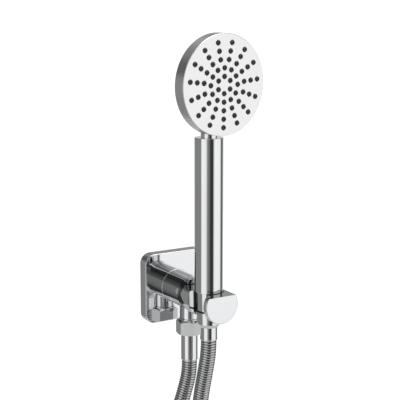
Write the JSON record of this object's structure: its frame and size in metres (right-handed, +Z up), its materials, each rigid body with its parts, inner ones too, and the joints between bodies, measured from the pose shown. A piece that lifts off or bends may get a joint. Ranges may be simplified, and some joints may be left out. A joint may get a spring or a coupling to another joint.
{
  "type": "hand shower with wall outlet",
  "caption": "Round stick hand shower resting in the side-open holder of a square-plate wall outlet elbow, with its ribbed metal hose joined to both.",
  "frame": {"origin": "centre of the back of the wall plate, on the arm's axis, where the wall's nipple enters", "axes": "+Z up along the handle, +Y into the wall, +X to the right of someone facing the wall"},
  "size_m": [0.1266, 0.1024, 0.7082],
  "materials": {
    "chrome": "polished",
    "satin_face": "satin chrome plate",
    "steel": "plain",
    "brass": "turned",
    "black_rubber": "matt",
    "black_plastic": "matt",
    "white_plastic": "moulded",
    "hose": "ribbed polished metal sheath"
  },
  "bodies": {
    "outlet": {"wall_plate": "chrome", "plate_gasket": "black_rubber", "plate_grub_screw": "steel", "outlet_arm": "chrome", "inlet_filter": "steel", "check_valve_body": "white_plastic", "check_valve_o_ring": "black_rubber", "check_valve_spring": "steel", "hose_nipple": "chrome", "nipple_o_ring": "black_rubber", "hex_nut": "chrome", "wall_hose_washer": "black_rubber", "wall_hose_tail": "brass", "wall_ferrule": "chrome", "wall_side_hose": "hose", "hose_hank": "hose", "hose_ties": "black_plastic", "holder_liner": "black_plastic"},
    "poppet": {"check_valve_poppet": "white_plastic"},
    "hose_end": {"handset_side_hose": "hose", "handset_ferrule": "chrome", "handset_hose_tail": "brass", "handset_hose_washer": "black_rubber"},
    "handset": {"cone_nut": "chrome", "cone_nut_ring": "black_rubber", "handle_inlet": "brass", "flow_limiter": "white_plastic", "water_tube": "white_plastic", "water_tube_o_rings": "black_rubber", "handle_tube": "chrome", "neck_elbow": "chrome", "head_cup": "satin_face", "nozzle_mat": "black_rubber", "diffuser": "white_plastic", "diffuser_screws": "steel", "head_back": "chrome", "head_seal": "black_rubber", "neck_nut": "brass"}
  },
  "joints": [
    {"name": "poppet_slide", "type": "slide", "parent": "outlet", "child": "poppet", "axis": [0, -1, 0], "range_m": [0, 0.0025], "stiffness_N_per_m": 60, "springref_m": -0.002, "deforming": ["check_valve_spring"]},
    {"name": "handset_lift", "type": "slide", "parent": "outlet", "child": "hose_end", "axis": [0, 0, 1], "range_m": [0, 0.06]},
    {"name": "handset_swivel", "type": "hinge", "parent": "hose_end", "child": "handset", "pos_m": [0, -0.074, 0], "axis": [0, 0, 1], "continuous": true}
  ]
}
